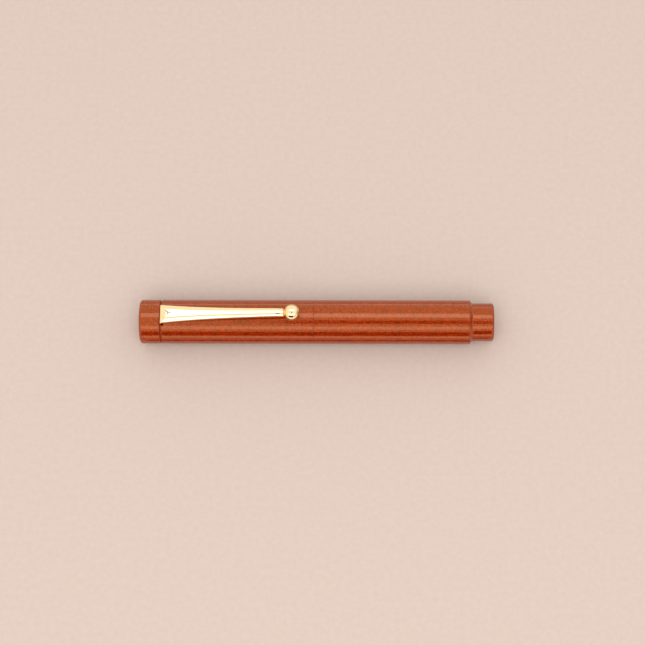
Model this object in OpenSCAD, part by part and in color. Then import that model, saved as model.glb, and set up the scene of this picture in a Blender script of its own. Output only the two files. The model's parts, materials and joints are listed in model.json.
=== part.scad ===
// Capped rollerball pen, lying on its side with the clip up.
// The pen's axis runs along X at the body's radius above the surface it lies on.
// The cap's closed end is toward -X and the tail is toward +X.
// Along the pen, positions are measured in millimetres from the cap's closed end.
// Across it, radii are measured from the pen's axis.

/* [Pen] */
// Length from the cap's closed end to the end of the tail
pen_length = 112.3; // [112:0.1:114]
// Radius of the cap and the barrel
body_r = 7; // [7:0.1:8]
// Wall of the cap and barrel tubes
tube_wall = 0.9; // [0.8:0.05:0.9]
// Radius of the rounded rims at both ends
rim_r = 0.9; // [0.4:0.1:1.2]

/* [Cap] */
// Length of the end piece beyond the clip
finial_length = 6.6; // [6:0.1:6.6]
// Width of the groove in which the clip's ring sits
clip_washer_t = 0.5; // [0.5:0.05:0.6]
// How far the ring lies below the cap's surface
groove_depth = 0.5; // [0.3:0.05:0.7]
// Where the cap's mouth meets the barrel
cap_mouth = 55.3; // [54.5:0.1:56]
// Thickness of the cap's end wall
end_wall = 1.2; // [1.1:0.1:1.3]
// Distance from the end of the plastic liner to the cap's mouth
liner_setback = 8.8; // [8.6:0.1:9.5]
// Wall of the plastic liner
liner_wall = 0.55; // [0.5:0.05:0.6]

/* [Clip] */
// Width of the clip's arm at its root
clip_root_w = 6.06; // [5.5:0.02:6.2]
// Width that the arm's taper approaches toward the ball
clip_tip_w = 2.06; // [1.8:0.02:2.4]
// Length over which the arm's extra width falls to about a third
clip_taper = 20.2; // [14:0.1:30]
// Radius from the pen's axis to the arm's upper edges near its root
clip_root_edge = 8.3; // [8.2:0.05:8.5]
// Radius from the pen's axis to the arm's upper edges at the ball
clip_neck_edge = 10.4; // [10.3:0.05:10.5]
// Thickness of the arm's edges at its root
clip_root_t = 0.75; // [0.6:0.05:0.8]
// Thickness of the arm's edges at the ball
clip_neck_t = 1.25; // [1:0.05:1.3]
// Width of each bevel as a part of the arm's width
clip_bevel = 0.27; // [0.15:0.01:0.3]
// Slope of the bevels
bevel_slope = 0.6; // [0.4:0.05:0.8]
// Slope of the shallow gable between the bevels
gable_slope = 0.08; // [0:0.01:0.15]
// Distance from the arm's root to the point where its hips meet
clip_hip = 2.7; // [2:0.05:4]
// Radius of the ball at the arm's end
clip_ball_r = 2.5; // [2.4:0.1:2.8]
// Where the ball's centre lies along the pen
clip_ball_at = 48.6; // [47:0.1:50]
// Radius from the pen's axis to the ball's centre
clip_ball_high = 10; // [10:0.1:10.4]

/* [Section] */
// Front end of the nose cone
nose_start = 12; // [12:0.1:12.3]
// Rear end of the nose cone, where the grip starts
nose_end = 22; // [22:0.1:22.4]
// Radius of the nose cone's front rim
nose_front_r = 1.9; // [1.8:0.05:2]
// Radius of the grip at the nose cone
grip_front_r = 4.35; // [4.3:0.05:4.5]
// Radius of the grip at its rear
grip_rear_r = 5.3; // [5.2:0.05:5.35]
// How far the grip's waist lies inside a straight taper
grip_waist = 0.25; // [0:0.05:0.3]
// Where the grip ends and the cap's spigot starts
grip_end = 47; // [46.8:0.1:47.4]
// Where the spigot ends inside the barrel
spigot_end = 57; // [56.8:0.1:57.2]

/* [Thread] */
// Advance of the barrel for one turn
thread_pitch = 1; // [0.9:0.05:1]
// Number of turns that free the barrel
thread_turns = 6; // [4:1:6]
// Radius of the thread's root on the section
thread_root_r = 4.95; // [4.9:0.05:5]
// Depth of the thread
thread_depth = 0.42; // [0.3:0.02:0.46]

/* [Tail] */
// Length of the step on which the cap is posted
tail_length = 6.85; // [6.5:0.05:7.1]
// Length of the chamfer before the tail
chamfer_length = 0.9; // [0.5:0.05:1]
// Radius of the tail
tail_r = 6.05; // [6:0.01:6.06]
// Length of the plug's stem inside the barrel
stem_length = 6.75; // [5:0.25:8]
// Thickness of the tail's end wall
tail_wall = 1.3; // [1.1:0.1:1.4]

/* [Refill] */
// Front end of the writing ball
tip_start = 9.9; // [9.9:0.05:10]
// Length of the refill without its spring
refill_length = 98.1; // [98:0.05:98.2]
// Radius of the refill's tube
refill_r = 2.95; // [2.9:0.01:2.95]
// Wall of the refill's tube
refill_wall = 0.35; // [0.3:0.05:0.4]
// Radius of the writing ball
ball_r = 0.35; // [0.25:0.05:0.4]
// Radius of the tip's straight shank
tip_r = 1.15; // [1.1:0.01:1.15]
// Radius of the wire that the spring is wound from
spring_wire_r = 0.2; // [0.15:0.01:0.22]
// Number of turns of the spring
spring_turns = 4; // [3:0.5:5]

/* [Fits] */
// Radial gap of a part that slides or turns in another
slide_gap = 0.05; // [0.03:0.01:0.08]
// Radial gap of a part that floats in another
float_gap = 0.1; // [0.08:0.01:0.12]
// Radial gap of a part that is pressed or glued into another
press_gap = 0.01; // [0.005:0.005:0.02]

/* [Hidden] */

// Finishes
LACQUER = [0.52, 0.21, 0.08];
GOLD = [0.90, 0.74, 0.45];
BRASS = [0.78, 0.62, 0.30];
STEEL = [0.72, 0.72, 0.74];
RUBBER = [0.08, 0.08, 0.09];
LINER_BLACK = [0.11, 0.11, 0.12];
REFILL_GREY = [0.62, 0.64, 0.66];
FIBRE = [0.10, 0.11, 0.30];

// Facets of round parts
ROUND = 96;
SMALL_ROUND = 48;

// How far a cutter reaches beyond the surface it cuts
CUT = 1;

// How far two pieces of one solid run into each other
OVERLAP = 0.1;

// Cap
bore_r = body_r - tube_wall;
cap_start = finial_length + clip_washer_t;
liner_start = cap_start + end_wall;
liner_end = cap_mouth - liner_setback;
liner_floor = 0.8;
liner_r = bore_r - slide_gap;
edge_break = 0.18;
seam_gap = 0.05;

// Screw that holds the cap together
screw_r = 1.5;
screw_head_r = 2.6;
screw_head_end = liner_start + liner_floor;
screw_start = 3.4;
screw_hole_start = screw_start - 0.6;
screw_hole_r = screw_r + press_gap;
screw_cone_gap = 0.02;
hex_socket_r = 0.95;
hex_socket_depth = 0.8;
register_r = 2.5;
register_end = cap_start + 0.45;

// Clip
washer_start = finial_length + press_gap;
washer_end = cap_start - press_gap;
tab_w = clip_root_w - 0.2;
tab_start = finial_length + 0.2;
tab_root = body_r - groove_depth - 0.6;
tab_top = body_r - 0.05;
arm_start = finial_length + 0.2;
arm_end = clip_ball_at - 2.25;
collar_start = arm_end - 0.5;
collar_size = 0.75;
arm_stations = 26;
arm_grading = 1.6;
roof_steps = [1, 0.85, 0.7, 0.56, 0.28, 0, -0.28, -0.56, -0.7, -0.85, -1];
bend_drop = 0.78;
bend_length = 0.9;
hip_foot = 0.06;
edge_step = 0.02;
heel_t = 0.56;
heel_length = 0.35;
tenon_w = 1.2;
tenon_t = 0.9;
tenon_length = 1.4;
notch_w = clip_root_w + 0.55;
notch_depth = 0.8;
notch_floor_r = 4.6;

// Section
core_r = 3.95;
core_bore_r = refill_r + float_gap;
nose_spigot_end = nose_end + 4;
spigot_r = bore_r - 0.1;
shank_r = 4.4;
oring_wire_r = 0.55;
oring_groove_floor = spigot_r - 1.1;
oring_groove_w = 1.3;
cap_oring_at = cap_mouth - 4.2;
barrel_oring_at = cap_mouth + 0.85;
tip_hole_r = tip_r + float_gap;

// Thread
thread_length = thread_pitch * thread_turns - 0.02;
thread_gap = 0.12;
thread_sides = 30;
thread_steps = 6;
insert_start = spigot_end + seam_gap;
connector_end = spigot_end + thread_length;
shank_end = connector_end + 0.5;
shank_gap = 0.04;
insert_end = insert_start + thread_length;

// Barrel and tail
barrel_start = cap_mouth + seam_gap;
tail_start = pen_length - tail_length;
barrel_end = tail_start - chamfer_length;
stem_start = barrel_end - stem_length;
pocket_end = pen_length - tail_wall;

// Refill
refill_end = tip_start + refill_length;
ball_at = tip_start + ball_r;
tip_cone_end = tip_start + 2.7;
tip_end = tip_start + 7.6;
nose_body_start = tip_start + 4.7;
nose_neck_r = 1.7;
nose_body_r = 2.35;
refill_shoulder = nose_end + 0.02;
collar_end = refill_shoulder + 0.6;
nose_plug_end = collar_end + 3.4;
refill_bore_r = refill_r - refill_wall;
plug_start = refill_end - 1.2;
plug_stem_start = plug_start - 3;
flute_count = 6;
wick_r = 0.6;
wick_gap = 0.02;
wick_start = tip_start + 3.3;
wick_end = tip_start + 19;
reservoir_start = nose_plug_end + 0.1;
reservoir_end = plug_stem_start - 0.1;
spring_r = 2.2;
spring_end_gap = 0.03;

// Places a profile drawn as (radius, distance from the cap's closed end) around the pen's axis.
module turned(sides = ROUND) {
    translate([-pen_length / 2, 0, body_r])
        rotate([0, 90, 0])
            rotate_extrude($fn = sides)
                children();
}

// Places a solid that is drawn along X from the cap's closed end, with the pen's axis at zero.
module along_pen() {
    translate([-pen_length / 2, 0, body_r])
        children();
}

// Rectangle of a turned profile, from one radius to another and from one end to the other.
module band(inner, outer, from, to) {
    translate([inner, from])
        square([outer - inner, to - from]);
}

// Rectangle of a turned profile whose outer corner at its start is rounded.
module rounded_start(outer, from, to, corner) {
    band(0, outer - corner, from, to);
    band(0, outer, from + corner, to);
    translate([outer - corner, from + corner])
        circle(r = corner, $fn = SMALL_ROUND);
}

// Corner of a turned profile that is cut away at 45 degrees, with the material below it.
module edge_cut(outer, at, size, toward) {
    translate([outer, at])
        polygon([[0.01, -0.01 * toward], [-size, -0.01 * toward], [0.01, size * toward]]);
}

// ---------------------------------------------------------------- cap

module finial() {
    color(LACQUER)
        turned()
            difference() {
                union() {
                    rounded_start(body_r, 0, finial_length, rim_r);
                    band(0, register_r, finial_length - OVERLAP, register_end);
                }
                band(-CUT, screw_hole_r, screw_hole_start, register_end + CUT);
                edge_cut(body_r, finial_length, edge_break, -1);
            }
}

module clip_ring() {
    color(LACQUER)
        union() {
            turned()
                band(register_r + press_gap, body_r - groove_depth, washer_start, washer_end);
            along_pen()
                translate([tab_start, -tab_w / 2, tab_root])
                    cube([washer_end - tab_start, tab_w, tab_top - tab_root]);
        }
}

module cap_tube() {
    color(LACQUER)
        difference() {
            turned()
                difference() {
                    band(screw_hole_r, body_r, cap_start, cap_mouth);
                    band(0, register_r + press_gap, cap_start - CUT, register_end + press_gap);
                    band(0, bore_r, liner_start, cap_mouth + CUT);
                    screw_cone(screw_cone_gap);
                    edge_cut(body_r, cap_start, edge_break, 1);
                    edge_cut(body_r, cap_mouth, seam_gap, -1);
                }
            along_pen()
                translate([cap_start - CUT, -notch_w / 2, notch_floor_r])
                    cube([notch_depth + CUT, notch_w, body_r]);
        }
}

// Profile of the screw's sunk head, widened by a gap where it is cut out of another part.
module screw_cone(gap) {
    depth = screw_head_r - screw_r;
    translate([0, screw_head_end - depth])
        polygon([[0, 0], [screw_r + gap, 0], [screw_head_r + gap, depth], [0, depth]]);
}

module cap_screw() {
    color(STEEL)
        difference() {
            turned(SMALL_ROUND)
                union() {
                    band(0, screw_r, screw_start, screw_head_end - OVERLAP);
                    screw_cone(0);
                }
            along_pen()
                translate([screw_head_end - hex_socket_depth, 0, 0])
                    rotate([0, 90, 0])
                        cylinder(r = hex_socket_r, h = hex_socket_depth + CUT, $fn = 6);
        }
}

module inner_cap() {
    color(LINER_BLACK)
        turned()
            difference() {
                band(0, liner_r, liner_start, liner_end);
                band(-CUT, liner_r - liner_wall, liner_start + liner_floor, liner_end + CUT);
                band(-CUT, screw_r + screw_cone_gap, liner_start - CUT, liner_end);
                screw_cone(screw_cone_gap);
            }
}

// ---------------------------------------------------------------- clip

// Width of the arm at a distance from the cap's closed end
function arm_w(u) = clip_tip_w + (clip_root_w - clip_tip_w) * exp(-(u - arm_start) / clip_taper);

// Fraction of the way from the arm's root to the ball
function arm_f(u) = (u - arm_start) / (arm_end - arm_start);

// Radius from the pen's axis to the arm's upper edges and to its underside
function arm_edge(u) = clip_root_edge + (clip_neck_edge - clip_root_edge) * arm_f(u);
function arm_t(u) = clip_root_t + (clip_neck_t - clip_root_t) * arm_f(u);
function arm_under(u) = arm_edge(u) - arm_t(u) - heel_t * exp(-(u - arm_start) / heel_length);

// Height of a roof with two bevels and a shallow gable, at a distance in from the arm's edge
function full_roof(w, inward) = bevel_slope * min(inward, clip_bevel * w)
    + gable_slope * max(0, inward - clip_bevel * w);

// Height of the hip that rises to the gable's ridge from the bend at the root
function hip(u) = let (bend = bend_length * 0.8, run = (u - arm_start - bend) / (clip_hip - bend))
    max(0, hip_foot + full_roof(arm_w(u), arm_w(u) / 2) * run);

// Height of the roof above the arm's upper edges, from s = -1 at one edge to s = 1 at the other
function roof(u, s) = min(full_roof(arm_w(u), arm_w(u) / 2 * (1 - abs(s))), hip(u));

// How far the top sinks in the round bend where the arm leaves the groove
function root_drop(u) = let (left = max(0, 1 - (u - arm_start) / bend_length))
    bend_drop * (1 - sqrt(1 - left * left));

// One cross-section of the arm, counter-clockwise as seen from the tail
function arm_section(u) = concat(
    [[u, -arm_w(u) / 2, arm_under(u)], [u, arm_w(u) / 2, arm_under(u)]],
    [for (s = roof_steps) [u, s * arm_w(u) / 2, arm_edge(u) + roof(u, s) - root_drop(u)]]
);

// The arm's last cross-section, shrunk toward its middle for the collar at the ball
function collar_section(u) = let (
        section = arm_section(collar_start),
        middle = (arm_edge(collar_start) + roof(collar_start, 0) + arm_under(collar_start)) / 2
    )
    [for (p = section) [u, p[1] * collar_size, middle + (p[2] - middle) * collar_size]];

// Cross-section of the tenon that enters the ball
function tenon_section(u) = let (middle = clip_ball_high) concat(
    [[u, -tenon_w / 2, middle - tenon_t / 2], [u, tenon_w / 2, middle - tenon_t / 2]],
    [for (s = roof_steps) [u, s * tenon_w / 2, middle + tenon_t / 2]]
);

// Triangles between rings of points that follow each other along X
function loft_faces(rings, count) = [
    for (i = [0 : rings - 2], j = [0 : count - 1])
        let (a = i * count + j, b = i * count + (j + 1) % count, c = b + count, d = a + count)
            each [[a, d, c], [a, c, b]]
];

// Solid through rings of points that follow each other along X
module loft(sections) {
    count = len(sections[0]);
    last = (len(sections) - 1) * count;
    polyhedron(
        points = [for (section = sections, p = section) p],
        faces = concat(
            [for (j = [1 : count - 2]) [0, j, j + 1]],
            loft_faces(len(sections), count),
            [for (j = [1 : count - 2]) [last, last + j + 1, last + j]]
        )
    );
}

module clip_arm() {
    length = collar_start - arm_start;
    stations = [for (i = [0 : arm_stations]) arm_start + length * pow(i / arm_stations, arm_grading)];
    color(GOLD)
        along_pen()
            loft(concat(
                [for (u = stations) arm_section(u)],
                [collar_section(collar_start + edge_step), collar_section(arm_end - edge_step)],
                [tenon_section(arm_end), tenon_section(arm_end + tenon_length)]
            ));
}

module clip_ball() {
    socket_gap = 0.02;
    color(GOLD)
        along_pen()
            difference() {
                translate([clip_ball_at, 0, clip_ball_high])
                    sphere(r = clip_ball_r, $fn = ROUND);
                translate([arm_end - clip_ball_r, -clip_ball_r, clip_ball_high - clip_ball_r])
                    cube([clip_ball_r + press_gap, clip_ball_r * 2, clip_ball_r * 2]);
                translate([
                    arm_end - socket_gap,
                    -tenon_w / 2 - socket_gap,
                    clip_ball_high - tenon_t / 2 - socket_gap
                ])
                    cube([tenon_length + OVERLAP, tenon_w + socket_gap * 2, tenon_t + socket_gap * 2]);
            }
}

// ---------------------------------------------------------------- section

module nose_cone() {
    rim = 0.25;
    nose_gap = 0.12;
    color(GOLD)
        turned()
            difference() {
                union() {
                    polygon([
                        [0, nose_start],
                        [nose_front_r - rim, nose_start],
                        [nose_front_r, nose_start + rim],
                        [grip_front_r - 0.05, nose_end],
                        [0, nose_end]
                    ]);
                    band(0, core_r, nose_end - OVERLAP, nose_spigot_end);
                }
                band(-CUT, tip_hole_r, nose_start - CUT, nose_end);
                polygon([
                    [-CUT, nose_body_start - 0.6],
                    [tip_hole_r, nose_body_start - 0.6],
                    [nose_neck_r + float_gap, nose_body_start - 0.15],
                    [nose_body_r + nose_gap, nose_end - 0.5],
                    [nose_body_r + nose_gap, nose_end + OVERLAP],
                    [-CUT, nose_end + OVERLAP]
                ]);
                band(-CUT, core_bore_r, nose_end, nose_spigot_end + CUT);
            }
}

module grip_sleeve() {
    grip_mid = (nose_end + grip_end) / 2;
    waist_r = (grip_front_r + grip_rear_r) / 2 - grip_waist;
    quarter = (grip_end - nose_end) / 4;
    hollow = 0.06;
    edge = 0.05;
    color(LACQUER)
        turned()
            difference() {
                polygon([
                    [0, nose_end + seam_gap],
                    [grip_front_r - edge, nose_end + seam_gap],
                    [grip_front_r, nose_end + edge * 10],
                    [(grip_front_r + waist_r) / 2 - hollow, nose_end + quarter],
                    [waist_r, grip_mid],
                    [(grip_rear_r + waist_r) / 2 - hollow, grip_end - quarter],
                    [grip_rear_r, grip_end - edge * 8],
                    [grip_rear_r - edge * 2, grip_end - press_gap],
                    [0, grip_end - press_gap]
                ]);
                band(-CUT, core_r + press_gap, nose_end - CUT, grip_end + CUT);
            }
}

module section_core() {
    color(LINER_BLACK)
        turned()
            difference() {
                union() {
                    band(core_bore_r, core_r, nose_spigot_end + press_gap * 2, grip_end + OVERLAP);
                    band(core_bore_r, spigot_r, grip_end, spigot_end);
                    band(core_bore_r, shank_r, spigot_end - OVERLAP, shank_end);
                }
                for (at = [cap_oring_at, barrel_oring_at])
                    translate([oring_groove_floor, at - oring_groove_w / 2])
                        square([spigot_r, oring_groove_w]);
                edge_cut(spigot_r, grip_end, 0.25, 1);
                edge_cut(spigot_r, spigot_end, 0.1, -1);
            }
}

// Rubber ring in a groove of the spigot
module oring(at) {
    color(RUBBER)
        turned()
            translate([bore_r - slide_gap - oring_wire_r, at])
                circle(r = oring_wire_r, $fn = SMALL_ROUND);
}

module cap_oring() {
    oring(cap_oring_at);
}

module barrel_oring() {
    oring(barrel_oring_at);
}

// ---------------------------------------------------------------- thread

// Height of a right-hand thread, from 0 in its root to 1 on its crest
function thread_h(u, angle) = (1 + cos(360 * (u - spigot_end) / thread_pitch - angle)) / 2;

// The thread runs out over half a pitch at both ends of its sleeve
function run_out(u, from, to) = min(1, min(u - from, to - u) * 2 / thread_pitch);

// Sleeve with one smooth side and one threaded side.
// An outside thread rises from its root, and an inside thread reaches in from its largest radius.
module threaded_sleeve(from, to, smooth_r, root_r, inside) {
    rows = ceil((to - from) / thread_pitch * thread_steps);
    sides = thread_sides;
    crest_r = root_r + thread_depth;
    rings = [for (i = [0 : rows], j = [0 : sides - 1])
        let (
            u = from + (to - from) * i / rows,
            angle = 360 * j / sides,
            h = thread_h(u, angle),
            fade = run_out(u, from, to),
            r = inside ? crest_r - thread_depth * (1 - h) * fade : root_r + thread_depth * h * fade
        )
            [u, r * cos(angle), r * sin(angle)]
    ];
    smooth = [for (u = [from, to], j = [0 : sides - 1])
        let (angle = 360 * j / sides)
            [u, smooth_r * cos(angle), smooth_r * sin(angle)]
    ];
    base = len(rings);
    threaded_faces = loft_faces(rows + 1, sides);
    smooth_faces = [for (face = loft_faces(2, sides)) [base + face[2], base + face[1], base + face[0]]];
    end_faces = [for (j = [0 : sides - 1])
        let (k = (j + 1) % sides, t = rows * sides, s = base + sides)
            each [
                [j, k, base + k], [j, base + k, base + j],
                [t + k, t + j, s + j], [t + k, s + j, s + k]
            ]
    ];
    faces = concat(threaded_faces, smooth_faces, end_faces);
    along_pen()
        polyhedron(
            points = concat(rings, smooth),
            faces = inside ? [for (face = faces) [face[2], face[1], face[0]]] : faces
        );
}

module thread_connector() {
    color(BRASS)
        threaded_sleeve(spigot_end + press_gap, connector_end, shank_r + shank_gap, thread_root_r, false);
}

module barrel_insert() {
    color(BRASS)
        threaded_sleeve(insert_start, insert_end, bore_r - press_gap, thread_root_r + thread_gap, true);
}

// ---------------------------------------------------------------- barrel

module barrel_tube() {
    color(LACQUER)
        turned()
            difference() {
                band(bore_r, body_r, barrel_start, barrel_end);
                edge_cut(body_r, barrel_start, seam_gap, 1);
            }
}

module tail_plug() {
    color(LACQUER)
        turned()
            difference() {
                union() {
                    band(0, bore_r - press_gap, stem_start, barrel_end + OVERLAP);
                    polygon([
                        [0, barrel_end + press_gap],
                        [body_r, barrel_end + press_gap],
                        [tail_r, tail_start],
                        [0, tail_start]
                    ]);
                    band(0, tail_r, tail_start - OVERLAP, pen_length - rim_r);
                    band(0, tail_r - rim_r, tail_start, pen_length);
                    translate([tail_r - rim_r, pen_length - rim_r])
                        circle(r = rim_r, $fn = SMALL_ROUND);
                }
                band(-CUT, core_bore_r, stem_start - CUT, pocket_end);
            }
}

// ---------------------------------------------------------------- refill

module refill_spring() {
    steps = 16 * spring_turns;
    sides = 8;
    from = refill_end + spring_end_gap + spring_wire_r;
    to = pocket_end - spring_end_gap - spring_wire_r;
    rings = [for (i = [0 : steps], k = [0 : sides - 1])
        let (
            angle = 360 * spring_turns * i / steps,
            turn = 360 * k / sides,
            r = spring_r + spring_wire_r * cos(turn)
        )
            [from + (to - from) * i / steps - spring_wire_r * sin(turn), r * cos(angle), r * sin(angle)]
    ];
    color(STEEL)
        along_pen()
            polyhedron(
                points = rings,
                faces = concat(
                    [[for (k = [0 : sides - 1]) k]],
                    loft_faces(steps + 1, sides),
                    [[for (k = [sides - 1 : -1 : 0]) steps * sides + k]]
                )
            );
}

module refill_tube() {
    color(REFILL_GREY)
        turned()
            band(refill_bore_r, refill_r, collar_end, plug_start);
}

module refill_nose() {
    color(LINER_BLACK)
        turned()
            difference() {
                union() {
                    polygon([
                        [0, nose_body_start],
                        [nose_neck_r - 0.15, nose_body_start],
                        [nose_neck_r, nose_body_start + 0.15],
                        [nose_body_r, nose_end - 1],
                        [nose_body_r, refill_shoulder],
                        [0, refill_shoulder]
                    ]);
                    band(0, refill_r, refill_shoulder, collar_end - press_gap);
                    band(0, refill_bore_r - press_gap, collar_end - OVERLAP, nose_plug_end);
                }
                band(-CUT, tip_r + press_gap, nose_body_start - CUT, tip_end + wick_gap);
                band(-CUT, wick_r + wick_gap, nose_body_start, nose_plug_end + CUT);
            }
}

module refill_tip() {
    socket_r = ball_r + 0.02;
    lip = 0.07;
    ink_channel_r = 0.16;
    color(STEEL)
        difference() {
            turned(SMALL_ROUND)
                difference() {
                    polygon([
                        [0, ball_at - 0.1],
                        [socket_r + lip, ball_at - 0.1],
                        [tip_r, tip_cone_end],
                        [tip_r, tip_end],
                        [0, tip_end]
                    ]);
                    band(-CUT, ink_channel_r, ball_at, wick_start + OVERLAP);
                    band(-CUT, wick_r + wick_gap, wick_start - wick_gap, tip_end + CUT);
                }
            along_pen()
                translate([ball_at, 0, 0])
                    sphere(r = socket_r, $fn = SMALL_ROUND);
        }
}

module writing_ball() {
    color(STEEL)
        along_pen()
            translate([ball_at, 0, 0])
                sphere(r = ball_r, $fn = SMALL_ROUND);
}

module ink_wick() {
    color(FIBRE)
        turned(SMALL_ROUND)
            band(0, wick_r, wick_start, wick_end);
}

module ink_reservoir() {
    color(FIBRE)
        turned(SMALL_ROUND)
            difference() {
                band(0, refill_bore_r - wick_gap, reservoir_start, reservoir_end);
                band(-CUT, wick_r + wick_gap, reservoir_start - CUT, wick_end + wick_gap);
            }
}

module refill_plug() {
    flute_r = 0.55;
    flute_setback = 0.3;
    color(REFILL_GREY)
        difference() {
            turned()
                union() {
                    band(0, refill_bore_r - press_gap, plug_stem_start, plug_start + OVERLAP);
                    band(0, refill_r - 0.1, plug_start + press_gap, refill_end);
                }
            along_pen()
                for (i = [0 : flute_count - 1])
                    rotate([360 * i / flute_count, 0, 0])
                        translate([plug_start + flute_setback, refill_r, 0])
                            rotate([0, 90, 0])
                                cylinder(r = flute_r, h = refill_end, $fn = 24);
        }
}

finial();
clip_ring();
clip_arm();
clip_ball();
cap_tube();
cap_screw();
inner_cap();
nose_cone();
grip_sleeve();
section_core();
cap_oring();
thread_connector();
barrel_oring();
barrel_tube();
barrel_insert();
tail_plug();
refill_spring();
refill_tube();
refill_nose();
refill_tip();
writing_ball();
ink_wick();
ink_reservoir();
refill_plug();
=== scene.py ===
"""Looks of the rollerball pen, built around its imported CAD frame.

Along the pen, u is the distance in millimetres from the cap's closed end, and r is the distance from
the pen's axis. Meshes are made in metres in the row frame, so every piece sits at the origin.
"""

import json
import math

import bmesh
import bpy
from mathutils import Matrix, Quaternion, Vector


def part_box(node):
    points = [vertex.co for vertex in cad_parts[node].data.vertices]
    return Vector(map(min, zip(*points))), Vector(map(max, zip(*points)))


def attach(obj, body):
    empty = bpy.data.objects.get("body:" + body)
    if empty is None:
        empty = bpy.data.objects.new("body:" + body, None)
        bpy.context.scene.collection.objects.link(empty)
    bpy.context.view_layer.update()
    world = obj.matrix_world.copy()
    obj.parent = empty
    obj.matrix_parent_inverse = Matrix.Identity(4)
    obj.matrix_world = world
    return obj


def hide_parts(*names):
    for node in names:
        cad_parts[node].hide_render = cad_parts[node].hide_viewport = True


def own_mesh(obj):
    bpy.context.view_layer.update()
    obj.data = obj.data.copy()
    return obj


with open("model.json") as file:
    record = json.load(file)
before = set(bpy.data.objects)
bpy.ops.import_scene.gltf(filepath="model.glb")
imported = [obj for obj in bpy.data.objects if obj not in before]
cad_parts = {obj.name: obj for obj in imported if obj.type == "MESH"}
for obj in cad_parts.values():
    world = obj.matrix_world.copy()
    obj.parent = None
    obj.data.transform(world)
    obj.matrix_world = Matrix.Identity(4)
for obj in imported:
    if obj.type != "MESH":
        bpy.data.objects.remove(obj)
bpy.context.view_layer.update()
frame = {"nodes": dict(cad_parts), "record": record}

MM = 0.001
PEN_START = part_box("finial")[0].x
AXIS_Z = (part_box("barrel_tube")[0].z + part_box("barrel_tube")[1].z) / 2
SEGMENTS, FEWER_SEGMENTS, FEWEST_SEGMENTS = 192, 96, 64
SHARP_ANGLE = math.radians(38)
WELD_M, ON_AXIS_MM = 1e-7, 1e-6


# ---------------------------------------------------------------- places, from the CAD frame

def start(node):
    return (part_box(node)[0].x - PEN_START) / MM


def end(node):
    return (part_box(node)[1].x - PEN_START) / MM


def mid(node):
    return (start(node) + end(node)) / 2


def outer(node):
    """Largest radius of a turned piece."""
    lo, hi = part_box(node)
    return (hi.y - lo.y) / 2 / MM


def place(u, y, z):
    """A point of the row frame from u along the pen and y, z off its axis, all in millimetres."""
    return Vector((PEN_START + u * MM, y * MM, AXIS_Z + z * MM))


# The boxes of the CAD nodes give the outer sizes. Numbers stand for steps inside a node, which its
# box doesn't show.
PRESS_GAP, FIT_GAP = 0.01, 0.02
BODY_R = outer("barrel_tube")
BORE_R = outer("barrel_insert") + PRESS_GAP
RIM_R = 0.9
GROOVE_EDGE_R, SEAM_EDGE_R = 0.16, 0.06

FINIAL_END = 6.6
CAP_START, CAP_END = start("cap_tube"), end("cap_tube")
LINER_START, LINER_END = start("inner_cap"), end("inner_cap")
SCREW_HOLE_START, SCREW_HOLE_R = 2.8, 1.51
SCREW_HEAD_R = outer("cap_screw")
COUNTERSINK_START, COUNTERSINK_R = 7.56, SCREW_HOLE_R + 0.8
REGISTER_R = 2.5
RING_R = 6.5

NOSE_START, NOSE_SPIGOT_END = start("nose_cone"), end("nose_cone")
GRIP_START, GRIP_END, GRIP_REAR_R = start("grip_sleeve"), end("grip_sleeve"), outer("grip_sleeve")
CORE_START, CORE_END = start("section_core"), end("section_core")
CORE_R, CORE_BORE_R = 3.95, 3.05
SPIGOT_START, SPIGOT_END, SPIGOT_R = 47.0, 57.0, outer("section_core")
SHANK_R, CONNECTOR_BORE_R = 4.4, 4.44
THREAD_PITCH, THREAD_ROOT, THREAD_DEPTH, THREAD_GAP = 1.0, 4.95, 0.42, 0.12

BARREL_START, BARREL_END = start("barrel_tube"), end("barrel_tube")
STEM_START, PEN_END = start("tail_plug"), end("tail_plug")
TAIL_START, TAIL_R, TAIL_ROOT_R = 105.45, 6.05, 0.6
POCKET_END = 111.0

REFILL_R, REFILL_WALL = outer("refill_tube"), 0.35
COLLAR_START, COLLAR_END = 22.02, start("refill_tube")
TIP_START, TIP_END, TIP_R = start("refill_tip"), end("refill_tip"), outer("refill_tip")
TIP_BALL_AT, TIP_BALL_R = mid("writing_ball"), outer("writing_ball")
WICK_START, WICK_END, WICK_R = start("ink_wick"), end("ink_wick"), outer("ink_wick")


# ---------------------------------------------------------------- mesh helpers

def new_object(name, bm, smooth=True):
    bmesh.ops.remove_doubles(bm, verts=bm.verts, dist=WELD_M)
    bmesh.ops.recalc_face_normals(bm, faces=bm.faces)
    mesh = bpy.data.meshes.new(name)
    bm.to_mesh(mesh)
    bm.free()
    obj = bpy.data.objects.new(name, mesh)
    bpy.context.scene.collection.objects.link(obj)
    if smooth:
        soften(obj)
    return obj


def soften(obj):
    """Smooth shading, with an edge kept wherever two faces meet at a real corner."""
    for polygon in obj.data.polygons:
        polygon.use_smooth = True
    obj.data.set_sharp_from_angle(angle=SHARP_ANGLE)


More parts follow.
